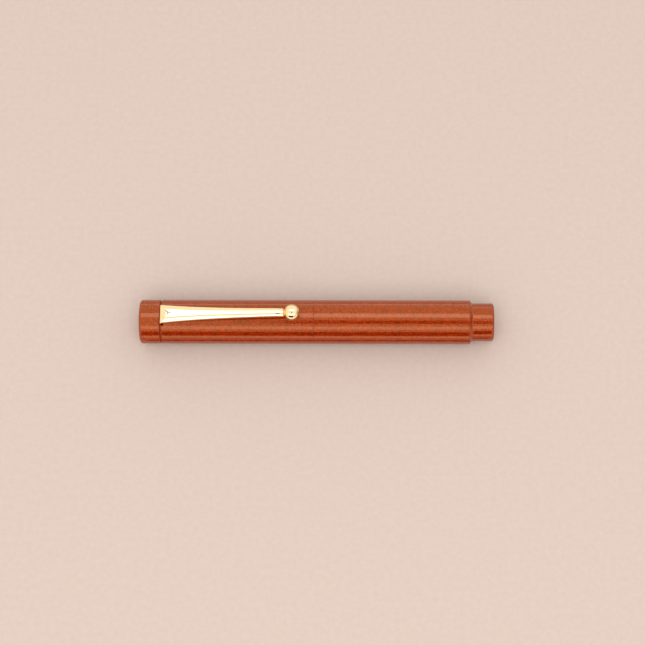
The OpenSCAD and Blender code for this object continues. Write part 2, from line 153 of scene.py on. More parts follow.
def fillet(corners):
    """Closed outline through (u, r) or (u, r, rounding) corners, in millimetres. A corner with a
    rounding becomes an arc, and a short support step at each end of the arc keeps the flats' shading
    flat."""
    full_arc_steps, full_arc_r, least_steps, longest_support = 14, 0.9, 3, 0.04
    points = []
    count = len(corners)
    for i in range(count):
        p = Vector(corners[i][:2])
        radius = corners[i][2] if len(corners[i]) > 2 else 0
        before = Vector(corners[i - 1][:2]) - p
        after = Vector(corners[(i + 1) % count][:2]) - p
        if radius <= 0:
            points.append(p)
            continue
        half = before.angle(after) / 2
        reach = radius / math.tan(half)
        a, b = p + before.normalized() * reach, p + after.normalized() * reach
        centre = p + (before.normalized() + after.normalized()).normalized() * (radius / math.sin(half))
        steps = max(least_steps, round(full_arc_steps * min(1, radius / full_arc_r) ** 0.5))
        support = min(longest_support, radius / 2)
        points.append(a + before.normalized() * support)
        va, vb = a - centre, b - centre
        total = va.angle_signed(vb)
        for k in range(steps + 1):
            turn = -total * k / steps
            points.append(centre + Vector((
                va.x * math.cos(turn) - va.y * math.sin(turn),
                va.x * math.sin(turn) + va.y * math.cos(turn),
            )))
        points.append(b + after.normalized() * support)
    return points


def arc(at, r, radius, first, last, steps):
    """Points of a circle around (at, r), from the first angle to the last, in degrees."""
    angles = [math.radians(first + (last - first) * k / steps) for k in range(steps + 1)]
    return [(at + radius * math.cos(t), r + radius * math.sin(t)) for t in angles]


def revolve(name, corners, segments=SEGMENTS, centre=(0, 0)):
    """Turned piece from a closed outline of corners, as fillet takes them, with its axis moved off
    the pen's axis by centre."""
    bm = bmesh.new()
    rings = []
    for p in fillet(corners):
        if p.y < ON_AXIS_MM:
            rings.append([bm.verts.new(place(p.x, *centre))])
        else:
            rings.append([
                bm.verts.new(place(
                    p.x,
                    centre[0] + p.y * math.cos(2 * math.pi * k / segments),
                    centre[1] + p.y * math.sin(2 * math.pi * k / segments),
                ))
                for k in range(segments)
            ])
    for i in range(len(rings)):
        a, b = rings[i - 1], rings[i]
        if len(a) == 1 and len(b) == 1:
            continue
        for k in range(segments):
            after = (k + 1) % segments
            face = [a[k % len(a)], a[after % len(a)], b[after % len(b)], b[k % len(b)]]
            bm.faces.new(list(dict.fromkeys(face)))
    return new_object(name, bm)


def loft(name, rings, closed_ends=True):
    """Skin through rings of points; closed_ends puts a face on the first and the last ring."""
    bm = bmesh.new()
    made = [[bm.verts.new(place(*p)) for p in ring] for ring in rings]
    for a, b in zip(made, made[1:]):
        for k in range(len(a)):
            after = (k + 1) % len(a)
            bm.faces.new([a[k], a[after], b[after], b[k]])
    if closed_ends:
        bm.faces.new(made[0])
        bm.faces.new(made[-1])
    return new_object(name, bm)


def block(name, lo, hi):
    """Box between two corners."""
    bm = bmesh.new()
    corners = [
        bm.verts.new(place(u, y, z))
        for u in (lo[0], hi[0]) for y in (lo[1], hi[1]) for z in (lo[2], hi[2])
    ]
    for face in ((0, 1, 3, 2), (4, 6, 7, 5), (0, 4, 5, 1), (2, 3, 7, 6), (0, 2, 6, 4), (1, 5, 7, 3)):
        bm.faces.new([corners[k] for k in face])
    return new_object(name, bm, smooth=False)


def combine(obj, tool, operation):
    """Cuts tool out of obj, or joins it on, and drops the tool."""
    modifier = obj.modifiers.new("combine", "BOOLEAN")
    modifier.operation = operation
    modifier.solver = "EXACT"
    modifier.object = tool
    depsgraph = bpy.context.evaluated_depsgraph_get()
    mesh = bpy.data.meshes.new_from_object(obj.evaluated_get(depsgraph))
    obj.modifiers.clear()
    obj.data = mesh
    bpy.data.objects.remove(tool)
    soften(obj)
    return obj


# ---------------------------------------------------------------- materials

class Finish:
    """A node material in millimetre object coordinates, ending in one Principled shader."""

    def __init__(self, name, **sockets):
        self.material = bpy.data.materials.new(name)
        self.material.use_nodes = True
        self.tree = self.material.node_tree
        self.shader = self.tree.nodes["Principled BSDF"]
        self.coords = self.node("ShaderNodeTexCoord").outputs["Object"]
        for socket, value in sockets.items():
            self.shader.inputs[socket.replace("_", " ")].default_value = value

    def node(self, kind, **settings):
        made = self.tree.nodes.new(kind)
        for key, value in settings.items():
            setattr(made, key, value)
        return made

    def link(self, a, b):
        self.tree.links.new(a, b)

    def mapped(self, scale):
        mapping = self.node("ShaderNodeMapping")
        mapping.inputs["Scale"].default_value = [s / MM for s in scale]
        self.link(self.coords, mapping.inputs["Vector"])
        return mapping.outputs["Vector"]

    def noise(self, scale, detail=3, roughness=0.55, stretch=(1, 1, 1)):
        """Noise with scale features per millimetre."""
        made = self.node("ShaderNodeTexNoise")
        self.link(self.mapped([scale * s for s in stretch]), made.inputs["Vector"])
        made.inputs["Scale"].default_value = 1
        made.inputs["Detail"].default_value = detail
        made.inputs["Roughness"].default_value = roughness
        return made.outputs["Fac"]

    def cells(self, scale):
        """Random grey for each flake, with scale flakes per millimetre."""
        made = self.node("ShaderNodeTexVoronoi")
        self.link(self.mapped([scale] * 3), made.inputs["Vector"])
        made.inputs["Scale"].default_value = 1
        split = self.node("ShaderNodeSeparateColor")
        self.link(made.outputs["Color"], split.inputs["Color"])
        return split.outputs["Red"]

    def ranged(self, value, low, high, from_low=0.3, from_high=0.7):
        made = self.node("ShaderNodeMapRange")
        self.link(value, made.inputs["Value"])
        made.inputs["From Min"].default_value = from_low
        made.inputs["From Max"].default_value = from_high
        made.inputs["To Min"].default_value = low
        made.inputs["To Max"].default_value = high
        return made.outputs["Result"]

    def add(self, a, b, factor=1.0):
        """a plus factor times b."""
        made = self.node("ShaderNodeMath", operation="MULTIPLY_ADD")
        self.link(b, made.inputs[0])
        made.inputs[1].default_value = factor
        self.link(a, made.inputs[2])
        return made.outputs[0]

    def blend(self, factor, dark, light):
        """Colour between dark and light. The inputs of the mix node go by number: its factor is 0,
        and its colours are 6 and 7."""
        made = self.node("ShaderNodeMix", data_type="RGBA")
        self.link(factor, made.inputs[0])
        made.inputs[6].default_value = (*dark, 1)
        made.inputs[7].default_value = (*light, 1)
        return made.outputs[2]

    def colour(self, value, dark, light, from_low=0.3, from_high=0.7):
        mixed = self.blend(self.ranged(value, 0, 1, from_low, from_high), dark, light)
        self.link(mixed, self.shader.inputs["Base Color"])

    def rough(self, value, low, high):
        self.link(self.ranged(value, low, high), self.shader.inputs["Roughness"])

    def bump(self, height, depth, socket="Normal"):
        """Bump whose full height is depth millimetres."""
        made = self.node("ShaderNodeBump")
        made.inputs["Strength"].default_value = 1
        made.inputs["Distance"].default_value = depth * MM
        self.link(height, made.inputs["Height"])
        self.link(made.outputs["Normal"], self.shader.inputs[socket])


def lacquer(name, coat, rough):
    """Copper-orange lacquer with fine flakes, under a thin clear coat."""
    finish = Finish(
        name, Metallic=0.0, IOR=1.8, Specular_Tint=(1.0, 0.50, 0.17, 1), Specular_IOR_Level=0.74,
        Coat_Weight=coat, Coat_Roughness=0.05, Coat_IOR=1.45,
    )
    flakes = finish.cells(3.6)
    grain = finish.noise(2.0, detail=2, roughness=0.6)
    cloud = finish.noise(0.7, detail=2, roughness=0.5)
    speckle = finish.add(finish.add(grain, flakes, 0.5), cloud, 0.25)
    dark, light = (0.118, 0.006, 0.0001), (0.362, 0.024, 0.0006)
    finish.colour(speckle, dark, light, from_low=0.6, from_high=1.15)
    finish.rough(flakes, *rough)
    finish.bump(finish.add(flakes, grain), depth=0.004)
    finish.bump(finish.noise(1.2, detail=2, roughness=0.5), depth=0.0004, socket="Coat Normal")
    return finish.material


def gold(name, rough):
    """Polished gold with faint scratches along the pen."""
    finish = Finish(name, Metallic=1.0)
    scratches = finish.noise(6, detail=4, roughness=0.6, stretch=(0.12, 1, 1))
    tone = finish.add(finish.noise(0.5), scratches, 0.2)
    finish.colour(tone, (0.98, 0.73, 0.38), (1.0, 0.80, 0.46), from_low=0.35, from_high=0.85)
    finish.rough(scratches, *rough)
    finish.bump(scratches, depth=0.0004)
    return finish.material


def darker_gold(name, dark, light):
    """Darker, rougher gold. In the hip creases it is painted shade."""
    finish = Finish(name, Metallic=1.0)
    grain = finish.noise(5, roughness=0.6)
    finish.colour(grain, dark, light, from_low=0.35)
    finish.rough(grain, 0.35, 0.5)
    finish.bump(grain, depth=0.006)
    return finish.material


def turned_metal(name, dark, light, rough, depth, per_mm=7.0):
    """Metal with fine turning rings around the pen's axis, per_mm of them to a millimetre."""
    finish = Finish(name, Metallic=1.0)
    rings = finish.noise(per_mm, roughness=0.6, stretch=(1, 0.02, 0.02))
    tone = finish.add(rings, finish.noise(1.5), 0.6)
    finish.colour(tone, dark, light, from_low=0.5, from_high=1.1)
    finish.rough(rings, *rough)
    finish.bump(rings, depth)
    return finish.material


def moulded(name, dark, light, rough, per_mm=3.0, depth=0.004):
    """Plastic or rubber with a fine grain from its mould."""
    finish = Finish(name, Specular_IOR_Level=0.4)
    grain = finish.noise(per_mm, detail=4, roughness=0.6)
    tone = finish.add(grain, finish.noise(0.4), 0.5)
    finish.colour(tone, dark, light, from_low=0.5, from_high=1.0)
    finish.rough(grain, *rough)
    finish.bump(grain, depth)
    return finish.material


def fibre():
    """Ink-soaked fibre, its strands along the pen."""
    finish = Finish("ink_fibre", Specular_IOR_Level=0.2)
    strands = finish.noise(9, detail=4, roughness=0.7, stretch=(0.06, 1, 1))
    finish.colour(strands, (0.012, 0.016, 0.07), (0.05, 0.06, 0.20))
    finish.rough(strands, 0.8, 0.95)
    finish.bump(strands, depth=0.03)
    return finish.material


MATERIALS = {
    "body_lacquer": lacquer("speckled_lacquer", coat=0.1, rough=(0.07, 0.14)),
    "gold_plate": gold("polished_gold_plate", rough=(0.05, 0.10)),
    "bare_brass": turned_metal(
        "turned_brass", (0.62, 0.43, 0.15), (0.80, 0.60, 0.26), rough=(0.22, 0.34), depth=0.003,
    ),
    "steel": turned_metal(
        "bright_steel", (0.50, 0.50, 0.52), (0.68, 0.68, 0.70), rough=(0.14, 0.26),
        depth=0.001, per_mm=12.0,
    ),
    "seal_rubber": moulded(
        "seal_rubber", (0.012, 0.012, 0.014), (0.03, 0.03, 0.032), rough=(0.6, 0.75),
        depth=0.006, per_mm=6.0,
    ),
    "black_plastic": moulded(
        "black_plastic", (0.016, 0.016, 0.018), (0.034, 0.034, 0.036), rough=(0.34, 0.46),
    ),
    "grey_plastic": moulded(
        "grey_plastic", (0.26, 0.27, 0.29), (0.36, 0.37, 0.39), rough=(0.38, 0.5),
    ),
    "refill_metal": turned_metal(
        "drawn_tube", (0.52, 0.53, 0.55), (0.66, 0.67, 0.69), rough=(0.3, 0.4),
        depth=0.001, per_mm=5.0,
    ),
    "ink_fibre": fibre(),
}
SPECIAL_FINISH = {
    "clip_ring": lacquer("ring_lacquer", coat=0.0, rough=(0.5, 0.6)),
    "clip_ball": gold("mirror_gold_plate", rough=(0.015, 0.04)),
}
SLOT_OF = {part["node"]: part["material_slot"] for part in frame["record"]["subparts"]}
BODY_OF = {
    node: body for body, nodes in frame["record"]["behaviour"]["bodies"].items() for node in nodes
}


def paint(obj, material):
    obj.data.materials.clear()
    obj.data.materials.append(material)


def dress(obj, node):
    """The piece stands for a CAD node: it takes over its body, its material slot and its place."""
    obj.name = "fine_" + node
    paint(obj, SPECIAL_FINISH.get(node, MATERIALS[SLOT_OF[node]]))
    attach(obj, BODY_OF[node])
    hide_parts(node)
    return obj


# ---------------------------------------------------------------- cap

def make_finial():
    """Closed end of the cap, with the screw's hole and a register that centres the clip's ring."""
    return revolve("finial", [
        (0, 0), (0, BODY_R, RIM_R), (FINIAL_END, BODY_R, GROOVE_EDGE_R), (FINIAL_END, REGISTER_R, 0.1),
        (end("finial"), REGISTER_R, 0.1), (end("finial"), SCREW_HOLE_R, 0.05),
        (SCREW_HOLE_START, SCREW_HOLE_R), (SCREW_HOLE_START, 0),
    ])


def make_cap_tube():
    """Cap shell with a notch under the clip's root. The ring of points just past the notch keeps the
    cut's shading away from the long wall."""
    notch_half, notch_floor, notch_depth, past_notch = 3.305, 4.6, 0.8, 8.3
    tube = revolve("cap_tube", [
        (CAP_START, REGISTER_R + PRESS_GAP), (CAP_START, BODY_R, GROOVE_EDGE_R), (past_notch, BODY_R),
        (CAP_END, BODY_R, SEAM_EDGE_R), (CAP_END, BORE_R, 0.08), (LINER_START, BORE_R),
        (LINER_START, COUNTERSINK_R), (COUNTERSINK_START, SCREW_HOLE_R),
        (COUNTERSINK_START, REGISTER_R + PRESS_GAP),
    ])
    low = (CAP_START - 1, -notch_half, notch_floor)
    high = (CAP_START + notch_depth, notch_half, BODY_R + 1)
    return combine(tube, block("notch", low, high), "DIFFERENCE")


def make_clip_ring():
    """Ring in the groove between finial and cap, with the tab that carries the clip's root."""
    a, b, bore_r = start("clip_ring"), end("clip_ring"), REGISTER_R + FIT_GAP
    tab_start, tab_half, tab_root, tab_top = 6.8, 2.93, RING_R - 0.6, BODY_R - 0.05
    ring = revolve("clip_ring", [(a, bore_r), (a, RING_R, 0.05), (b, RING_R, 0.05), (b, bore_r)])
    tab = block("tab", (tab_start, -tab_half, tab_root), (b - PRESS_GAP, tab_half, tab_top))
    return combine(ring, tab, "UNION")


def make_inner_cap():
    """Liner with a floor that the screw's head clamps."""
    wall, floor_t, r = 0.55, 0.8, outer("inner_cap")
    return revolve("inner_cap", [
        (LINER_START, COUNTERSINK_R), (LINER_START, r, 0.2), (LINER_END, r, 0.1),
        (LINER_END, r - wall, 0.2), (LINER_START + floor_t, r - wall, 0.3),
        (LINER_START + floor_t, SCREW_HEAD_R + FIT_GAP, 0.02),
    ])


# ---------------------------------------------------------------- section

def make_nose_cone():
    """Cone with a spigot behind it. Its bore follows the refill's neck down to the tip's hole."""
    hole_r, front_r, rear_r, rear = 1.25, 1.9, 4.3, GRIP_START - 0.05
    hole_end, front_bore_start, front_bore_r = 14.0, 14.45, 1.8
    neck_bore_start, neck_bore_r = rear - 0.5, 2.47
    return revolve("nose_cone", [
        (NOSE_START, hole_r, 0.1), (NOSE_START, front_r, 0.25), (rear, rear_r, 0.08),
        (rear, CORE_R, 0.03), (NOSE_SPIGOT_END, CORE_R, 0.1), (NOSE_SPIGOT_END, CORE_BORE_R),
        (rear, CORE_BORE_R), (rear, neck_bore_r), (neck_bore_start, neck_bore_r),
        (front_bore_start, front_bore_r), (hole_end, hole_r),
    ])


def make_grip_sleeve():
    """The grip's outline is a smooth waist between its front and rear radius."""
    front_r, waist, steps = 4.35, 0.25, 40
    length = GRIP_END - GRIP_START
    outline = [(GRIP_START, CORE_R + PRESS_GAP), (GRIP_START, front_r, 0.12)]
    for k in range(1, steps):
        share = k / steps
        r = front_r + (GRIP_REAR_R - front_r) * share - waist * math.sin(math.pi * share) ** 2
        outline.append((GRIP_START + length * share, r))
    outline += [(GRIP_END, GRIP_REAR_R, 0.15), (GRIP_END, CORE_R + PRESS_GAP)]
    return revolve("grip_sleeve", outline)


def make_section_core():
    """Inner tube with the spigot that the cap slides on and a groove for each rubber ring."""
    groove_floor_r, groove_half = 4.9, 0.65
    outline = [
        (CORE_START, CORE_BORE_R), (CORE_START, CORE_R), (SPIGOT_START, CORE_R),
        (SPIGOT_START, SPIGOT_R, 0.3),
    ]
    for at in (mid("cap_oring"), mid("barrel_oring")):
        a, b = at - groove_half, at + groove_half
        outline += [(a, SPIGOT_R, 0.05), (a, groove_floor_r, 0.15)]
        outline += [(b, groove_floor_r, 0.15), (b, SPIGOT_R, 0.05)]
    outline += [
        (SPIGOT_END, SPIGOT_R, 0.1), (SPIGOT_END, SHANK_R, 0.05), (CORE_END, SHANK_R, 0.1),
        (CORE_END, CORE_BORE_R),
    ]
    return revolve("section_core", outline)


def make_oring(node):
    wire, steps = (end(node) - start(node)) / 2, 32
    full_circle = arc(mid(node), outer(node) - wire, wire, 0, 360, steps)
    return revolve(node, full_circle[:-1])


# ---------------------------------------------------------------- thread

def make_thread(node, smooth_r, root_r, inside=False):
    """Sleeve with one smooth wall and one threaded wall, right-handed. The ridges fade out at both
    ends, inward on an outside thread and outward on an inside one."""
    a, b, sides, rows = start(node), end(node), 96, 108
    rings = []
    for i in range(rows + 1):
        u = a + (b - a) * i / rows
        fade = min(1, min(u - a, b - u) * 2 / THREAD_PITCH)
        ring = []
        for k in range(sides):
            angle = 2 * math.pi * k / sides
            wave = (1 + math.cos(2 * math.pi * (u - SPIGOT_END) / THREAD_PITCH - angle)) / 2
            wave = wave * wave * (3 - 2 * wave)
            rise = 1 - (1 - wave) * fade if inside else wave * fade
            r = root_r + THREAD_DEPTH * rise
            ring.append((u, r * math.cos(angle), r * math.sin(angle)))
        rings.append(ring)
    for u in (b, a):
        rings.append([
            (u, smooth_r * math.cos(2 * math.pi * k / sides), smooth_r * math.sin(2 * math.pi * k / sides))
            for k in range(sides)
        ])
    return loft(node, rings + [rings[0]], closed_ends=False)


# ---------------------------------------------------------------- barrel

def make_barrel_tube():
    return revolve("barrel_tube", [
        (BARREL_START, BORE_R, 0.05), (BARREL_START, BODY_R, SEAM_EDGE_R), (BARREL_END, BODY_R, 0.04),
        (BARREL_END, BORE_R),
    ])


def make_tail_plug():
    """Stem inside the barrel, chamfer, and the stepped tail, with a pocket for the refill's end."""
    stem_r, shoulder = BORE_R - PRESS_GAP, BARREL_END + PRESS_GAP
    return revolve("tail_plug", [
        (STEM_START, CORE_BORE_R, 0.1), (STEM_START, stem_r, 0.2), (shoulder, stem_r),
        (shoulder, BODY_R, SEAM_EDGE_R), (TAIL_START, TAIL_R, TAIL_ROOT_R), (PEN_END, TAIL_R, RIM_R),
        (PEN_END, 0), (POCKET_END, 0), (POCKET_END, CORE_BORE_R, 0.2),
    ])


# ---------------------------------------------------------------- refill

def make_refill_tube():
    a, b, bore_r = COLLAR_END, end("refill_tube"), REFILL_R - REFILL_WALL
    return revolve("refill_tube", [(a, bore_r), (a, REFILL_R, 0.1), (b, REFILL_R, 0.1), (b, bore_r)])


def make_refill_nose():
    """Tapered front, neck, collar, and a plug inside the tube, with holes for the tip and the wick."""
    a, b = start("refill_nose"), end("refill_nose")
    front_r, taper_end, neck_r = 1.7, 21.0, 2.35
    plug_start, plug_r = COLLAR_END - PRESS_GAP, REFILL_R - REFILL_WALL - PRESS_GAP
    tip_hole_end, tip_hole_r, wick_hole_r = TIP_END + FIT_GAP, TIP_R + PRESS_GAP, WICK_R + FIT_GAP
    return revolve("refill_nose", [
        (a, tip_hole_r), (a, front_r, 0.15), (taper_end, neck_r, 0.3), (COLLAR_START, neck_r, 0.1),
        (COLLAR_START, REFILL_R, 0.06), (plug_start, REFILL_R, 0.06), (plug_start, plug_r),
        (b, plug_r, 0.2), (b, wick_hole_r), (tip_hole_end, wick_hole_r), (tip_hole_end, tip_hole_r),
    ])


def make_refill_tip():
    """Steel tip: cone with a turned lip round the ball, ink channel and bore for the wick."""
    socket_r, cone_end, lip, channel_r = TIP_BALL_R + FIT_GAP, 12.6, 0.07, 0.16
    socket_end, bore_start, bore_r = TIP_BALL_AT + 0.5, WICK_START - FIT_GAP, WICK_R + FIT_GAP
    cup = arc(TIP_BALL_AT, 0, socket_r, 105, 25, steps=10)
    return revolve("refill_tip", cup + [
        (socket_end, channel_r), (bore_start, channel_r), (bore_start, bore_r), (TIP_END, bore_r),
        (TIP_END, TIP_R, 0.05), (cone_end, TIP_R, 0.25), (TIP_START, socket_r + lip, 0.02),
    ], FEWER_SEGMENTS)


def make_writing_ball():
    half_circle = arc(TIP_BALL_AT, 0, TIP_BALL_R, 180, 0, steps=32)
    return revolve("writing_ball", half_circle, FEWEST_SEGMENTS)


def make_ink_wick():
    return revolve("ink_wick", [
        (WICK_START, 0), (WICK_START, WICK_R, 0.06), (WICK_END, WICK_R, 0.06), (WICK_END, 0),
    ], FEWEST_SEGMENTS)


def make_ink_reservoir():
    """Fibre rod with a blind hole at the front for the wick."""
    a, b, r = start("ink_reservoir"), end("ink_reservoir"), outer("ink_reservoir")
    hole_end, hole_r = WICK_END + FIT_GAP, WICK_R + FIT_GAP
    return revolve("ink_reservoir", [
        (a, hole_r), (a, r, 0.15), (b, r, 0.15), (b, 0), (hole_end, 0), (hole_end, hole_r),
    ], FEWER_SEGMENTS)


def make_refill_spring():
    """Compression spring whose coils lie closer at each end."""
    wire, turns, steps, sides = 0.2, 4.0, 480, 16
    middle_closing, end_closing = 0.05, 0.07
    coil_r = outer("refill_spring") - wire
    a, b = start("refill_spring") + wire, end("refill_spring") - wire
    rings = []
    for i in range(steps + 1):
        share = i / steps
        turn = 2 * math.pi * share
        rise = share - end_closing * math.sin(turn) - middle_closing * math.sin(2 * turn)
        angle = turns * turn
        ring = []
        for k in range(sides):
            t = 2 * math.pi * k / sides
            u, r = a + (b - a) * rise - wire * math.sin(t), coil_r + wire * math.cos(t)
            ring.append((u, r * math.cos(angle), r * math.sin(angle)))
        rings.append(ring)
    return loft("refill_spring", rings)


# ---------------------------------------------------------------- clip

# The arm's top is a shallow gable with a bevel along each side. At its root it bends down and ends in
# a hip, and CREASES are the lengths along and across the arm of the creases that start at JUNCTION.
ARM_START, NECK_START, ARM_END = start("clip_arm"), 45.85, 46.35
TIP_WIDTH, ROOT_WIDENING, TAPER_LENGTH = 2.06, 4.0, 20.2
ROOT_EDGE, EDGE_CLIMB = 8.3, 2.1
ROOT_T, NECK_THICKENING = 0.75, 0.5
HEEL_T, HEEL_LENGTH = 0.56, 0.35
BEND, BEND_DROP = 0.9, 0.78
HIP_START, JUNCTION, HIP_SWELL = 0.8 * BEND, 9.5, 0.7
HIP_FOOT, HIP_LIFT = 0.06, 0.03
BEVEL_SLOPE, GABLE_SLOPE = 0.6, 0.08
BEVEL_PART, BEVEL_SLIMMING, SLIMMING_WIDTH = 0.27, 0.045, 3
RIDGE_SOFT, BEVEL_SOFT, HIP_SOFT = 0.02, 0.16, 0.10
EDGE_R, FOOT_R = 0.2, 0.08
DIP_START, DIP = 43.0, 0.042
CREASE_Y, CREASE_HALF, CREASE_DEPTH = 0.25, 0.2, 0.2
CREASES = ((-0.95, 1.0), (-0.2, -0.95), (1.1, -0.15))
ACROSS, EDGE_CROWDING = 84, 0.35
COLLAR_STEPS = ((0.06, 0.985), (0.12, 0.95), (0.24, 0.88), (0.36, 0.81), (0.48, 0.76))
COLLAR_SIZE = 0.74
TENON_W, TENON_T, TENON_LENGTH = 1.2, 0.9, 1.4
CLIP_BALL_R, CLIP_BALL_HIGH = outer("clip_ball"), 10.0
CLIP_BALL_AT = end("clip_ball") - CLIP_BALL_R


def arm_width(u):
    return TIP_WIDTH + ROOT_WIDENING * math.exp(-(u - ARM_START) / TAPER_LENGTH)


def arm_edge(u):
    """Height of the arm's upper edges off the pen's axis."""
    return ROOT_EDGE + EDGE_CLIMB * (u - ARM_START) / (ARM_END - ARM_START)


def arm_under(u):
    """Height of the arm's underside off the pen's axis, lower at the heel of the root."""
    share = (u - ARM_START) / (ARM_END - ARM_START)
    heel = HEEL_T * math.exp(-(u - ARM_START) / HEEL_LENGTH)
    return arm_edge(u) - ROOT_T - NECK_THICKENING * share - heel


def soft_min(a, b, reach):
    """The smaller of two heights, with the ridge where they meet rounded."""
    closeness = max(reach - abs(a - b), 0) / reach
    return min(a, b) - closeness * closeness * reach / 4


def quarter_round(distance, reach):
    """How far a rounded edge has fallen, from 0 at reach to 1 at the edge itself."""
    return 1 - math.sqrt(max(0.0, 1 - (1 - distance / reach) ** 2))


def arm_rise(u, inward):
    """Height above the edges at a distance in from one: a bevel, then one side of a shallow gable,
    hipped at the root."""
    half = arm_width(u) / 2
    bevel = BEVEL_PART * 2 * half - BEVEL_SLIMMING * max(0.0, 2 * half - SLIMMING_WIDTH) ** 2
    bevel_top = BEVEL_SLOPE * bevel
    ridge = bevel_top + GABLE_SLOPE * (half - bevel)
    gable = bevel_top + GABLE_SLOPE * (inward - bevel)
    gable = soft_min(gable, ridge + GABLE_SLOPE * (half - inward), RIDGE_SOFT)
    full = soft_min(BEVEL_SLOPE * inward, gable, BEVEL_SOFT)
    climb = (u - ARM_START - HIP_START) / (JUNCTION - ARM_START - HIP_START)
    if 0 < climb < 1:
        climb += HIP_SWELL * climb * (1 - climb)
    hip = HIP_FOOT + (ridge + HIP_LIFT) * climb
    return max(0.0, soft_min(full, max(0.0, hip), HIP_SOFT))


def crease(u, y):
    """Depth of the three short creases where the hips meet."""
    depth = 0.0
    for du, dy in CREASES:
        length = math.hypot(du, dy)
        along = ((u - JUNCTION) * du + (y - CREASE_Y) * dy) / length
        across = abs((u - JUNCTION) * dy - (y - CREASE_Y) * du) / length
        if 0 <= along <= length and across < CREASE_HALF:
            fade = min(1, 2 * (1 - along / length))
            depth = max(depth, CREASE_DEPTH * (1 - across / CREASE_HALF) * fade)
    return depth


def arm_top(u, y):
    """Height of the arm's top at y off its middle."""
    from_root, inward = u - ARM_START, arm_width(u) / 2 - abs(y)
    height = arm_edge(u) + arm_rise(u, inward) - crease(u, y)
    if from_root < BEND:
        height -= BEND_DROP * quarter_round(from_root, BEND)
    if inward < EDGE_R:
        height -= EDGE_R * quarter_round(inward, EDGE_R)
    return height - DIP * max(0.0, u - DIP_START) ** 2


def arm_ring(u):
    """One cross-section of the arm: faceted top with rounded edges, upright sides, flat underside.
    The top's points crowd a little toward its edges."""
    half = arm_width(u) / 2
    ring = []
    for k in range(ACROSS + 1):
        s = 1 - 2 * k / ACROSS
        y = half * math.sin(s * math.pi / 2) * EDGE_CROWDING + half * s * (1 - EDGE_CROWDING)
        ring.append((u, y, arm_top(u, y)))
    under = arm_under(u)
    foot = min(FOOT_R, (ring[-1][2] - under) / 3)
    right = [(u, -half, under + foot), (u, -half + foot, under)]
    left = [(u, half - foot, under), (u, half, under + foot)]
    return ring + right + left


def shrunk(ring, at, size, centre):
    """The ring moved to at and drawn in toward the arm's middle line."""
    return [(at, y * size, centre + (z - centre) * size) for _, y, z in ring]


def arm_stations():
    """Distances from the arm's root: close together round the bend and the hips, then wider."""
    stations = [0, 0.01, 0.03, 0.07, 0.12, 0.2, 0.3, 0.4, 0.5, 0.6, 0.7, 0.8]
    stations += [0.86 + 0.06 * k for k in range(60)]
    wide_step, last_gap = 0.6, 0.7
    while stations[-1] < NECK_START - ARM_START - last_gap:
        stations.append(stations[-1] + wide_step)
    return stations


def make_clip_arm():
    """The arm, rounded in to a collar at its neck, with a flat tenon that enters the ball."""
    rings = [arm_ring(ARM_START + d) for d in arm_stations()]
    neck_at = NECK_START - 0.1
    neck = arm_ring(neck_at)
    rings.append(neck)
    centre = (max(p[2] for p in neck) + min(p[2] for p in neck)) / 2
    for at, size in COLLAR_STEPS:
        rings.append(shrunk(neck, neck_at + at, size, centre))
    rings.append(shrunk(neck, ARM_END, COLLAR_SIZE, centre))
    for at in (ARM_END + 0.001, ARM_END + TENON_LENGTH):
        rings.append([
            (at, max(-1, min(1, p[1] / neck[0][1])) * TENON_W / 2,
             CLIP_BALL_HIGH + (TENON_T / 2 if k <= ACROSS else -TENON_T / 2))
            for k, p in enumerate(neck)
        ])
    return loft("clip_arm", rings)


def make_clip_ball():
    """Polished ball with a flat against the arm's collar and a socket for its tenon."""
    flat = ARM_END + PRESS_GAP
    open_angle = math.degrees(math.acos((CLIP_BALL_AT - flat) / CLIP_BALL_R))
    outline = [(flat, 0)] + arc(CLIP_BALL_AT, 0, CLIP_BALL_R, 180 - open_angle, 0, steps=72)
    ball = revolve("clip_ball", outline, centre=(0, CLIP_BALL_HIGH))
    half_w, half_t = TENON_W / 2 + FIT_GAP, TENON_T / 2 + FIT_GAP
    low = (flat - 1, -half_w, CLIP_BALL_HIGH - half_t)
    high = (flat + TENON_LENGTH + 0.1, half_w, CLIP_BALL_HIGH + half_t)
    return combine(ball, block("socket", low, high), "DIFFERENCE")


# ---------------------------------------------------------------- pieces

PIECES = {
    "finial": make_finial,
    "cap_tube": make_cap_tube,
    "clip_ring": make_clip_ring,
    "inner_cap": make_inner_cap,
    "clip_arm": make_clip_arm,
    "clip_ball": make_clip_ball,
    "nose_cone": make_nose_cone,
    "grip_sleeve": make_grip_sleeve,
    "section_core": make_section_core,
    "cap_oring": lambda: make_oring("cap_oring"),
    "barrel_oring": lambda: make_oring("barrel_oring"),
    "thread_connector": lambda: make_thread("thread_connector", CONNECTOR_BORE_R, THREAD_ROOT),
    "barrel_insert": lambda: make_thread(
        "barrel_insert", BORE_R - PRESS_GAP, THREAD_ROOT + THREAD_GAP, inside=True,
    ),
    "barrel_tube": make_barrel_tube,
    "tail_plug": make_tail_plug,
    "refill_tube": make_refill_tube,
    "refill_nose": make_refill_nose,
    "refill_tip": make_refill_tip,
    "writing_ball": make_writing_ball,
    "ink_wick": make_ink_wick,
    "ink_reservoir": make_ink_reservoir,
    "refill_spring": make_refill_spring,
}
made = {node: dress(make(), node) for node, make in PIECES.items()}


